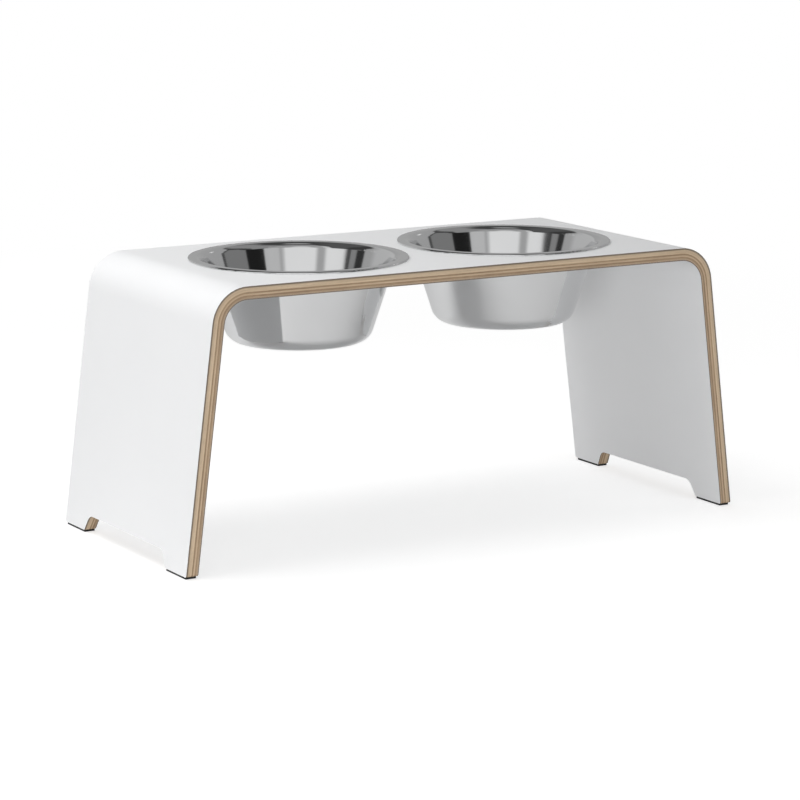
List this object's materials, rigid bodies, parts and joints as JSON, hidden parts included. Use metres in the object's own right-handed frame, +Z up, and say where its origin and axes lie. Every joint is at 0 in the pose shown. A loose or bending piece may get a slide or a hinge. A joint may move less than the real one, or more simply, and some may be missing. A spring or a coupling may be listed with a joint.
{
  "type": "dog feeder stand",
  "caption": "Raised feeder for a dog: a bench of bent laminated wood with splayed legs, holding lift-out steel bowls in round holes, on foot pads.",
  "frame": {"origin": "middle of the stand on the floor, under the centre of its box", "axes": "+X along the length, from the left bowl to the right one; front is -Y; +Z up"},
  "size_m": [0.584, 0.25, 0.2552],
  "materials": {
    "laminate": "satin white",
    "pale_veneer": "oiled cut edge",
    "dark_veneer": "oiled cut edge",
    "steel": "polished",
    "pad": "matt black"
  },
  "bodies": {
    "stand": {"outer_laminate": "laminate", "veneer_1": "pale_veneer", "veneer_2": "dark_veneer", "veneer_3": "pale_veneer", "veneer_4": "dark_veneer", "veneer_5": "pale_veneer", "veneer_6": "dark_veneer", "veneer_7": "pale_veneer", "inner_laminate": "laminate", "front_left_pad": "pad", "front_right_pad": "pad", "back_left_pad": "pad", "back_right_pad": "pad"},
    "left_bowl": {"left_bowl": "steel"},
    "right_bowl": {"right_bowl": "steel"}
  },
  "joints": [
    {"name": "left_bowl_lift", "type": "slide", "parent": "stand", "child": "left_bowl", "axis": [0, 0, 1], "range_m": [0, 0.1]},
    {"name": "right_bowl_lift", "type": "slide", "parent": "stand", "child": "right_bowl", "axis": [0, 0, 1], "range_m": [0, 0.1]}
  ]
}
